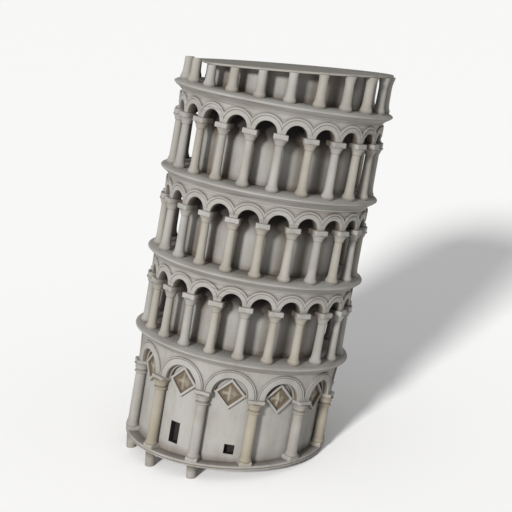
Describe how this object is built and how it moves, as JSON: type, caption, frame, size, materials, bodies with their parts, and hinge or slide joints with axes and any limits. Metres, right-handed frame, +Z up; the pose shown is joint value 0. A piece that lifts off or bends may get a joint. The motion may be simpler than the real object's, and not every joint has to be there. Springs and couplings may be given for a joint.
{
  "type": "miniature leaning tower",
  "caption": "Free-standing miniature of a round arcaded bell tower that leans and is cut off above its galleries, standing on short pegs and the rim of a thin base disc.",
  "frame": {"origin": "middle of the bounding box, at the level of the surface it stands on", "axes": "+Z up from that surface; the tower leans towards +X; -Y is the side with the two small windows"},
  "size_m": [0.12, 0.0944, 0.1709],
  "materials": {
    "base": "matt cast resin, brown wash in the grooves",
    "drums": "matt cast resin, darker towards the ceilings",
    "arcades": "matt cast resin, pale dry-brushed edges",
    "cornices": "matt cast resin, brown wash under the edge",
    "ground_columns": "matt cast resin, some with an ochre wash",
    "top_columns": "matt cast resin",
    "ochre_panel": "matt cast resin, ochre wash inside a pale frame",
    "cut_face": "matt grey sawn face"
  },
  "bodies": {
    "root": {"base_disc": "base", "cornice_1": "cornices", "cornice_2": "cornices", "cornice_3": "cornices", "cornice_4": "cornices", "gallery_1_arcade": "arcades", "gallery_1_drum": "drums", "gallery_2_arcade": "arcades", "gallery_2_drum": "drums", "gallery_3_arcade": "arcades", "gallery_3_drum": "drums", "gallery_4_drum": "drums", "ground_column_01": "ground_columns", "ground_column_02": "ground_columns", "ground_column_03": "ground_columns", "ground_column_04": "ground_columns", "ground_column_05": "ground_columns", "ground_column_06": "ground_columns", "ground_column_07": "ground_columns", "ground_column_08": "ground_columns", "ground_column_09": "ground_columns", "ground_column_10": "ground_columns", "ground_column_11": "ground_columns", "ground_column_12": "ground_columns", "ground_wall": "drums", "lozenge_01": "ochre_panel", "lozenge_02": "ochre_panel", "lozenge_03": "ochre_panel", "lozenge_04": "ochre_panel", "lozenge_05": "ochre_panel", "lozenge_06": "ochre_panel", "lozenge_07": "ochre_panel", "lozenge_08": "ochre_panel", "lozenge_09": "ochre_panel", "lozenge_10": "ochre_panel", "lozenge_11": "ochre_panel", "lozenge_12": "ochre_panel", "top_column_01": "top_columns", "top_column_02": "top_columns", "top_column_03": "top_columns", "top_column_04": "top_columns", "top_column_05": "top_columns", "top_column_06": "top_columns", "top_column_07": "top_columns", "top_column_08": "top_columns", "top_column_09": "top_columns", "top_column_10": "top_columns", "top_column_11": "top_columns", "top_column_12": "top_columns", "top_column_13": "top_columns", "top_column_14": "top_columns", "top_column_15": "top_columns", "top_column_16": "top_columns", "top_column_17": "top_columns", "top_column_18": "top_columns", "top_column_19": "top_columns", "top_column_20": "top_columns", "top_column_21": "top_columns", "top_column_22": "top_columns", "top_lid": "cut_face"}
  },
  "joints": []
}
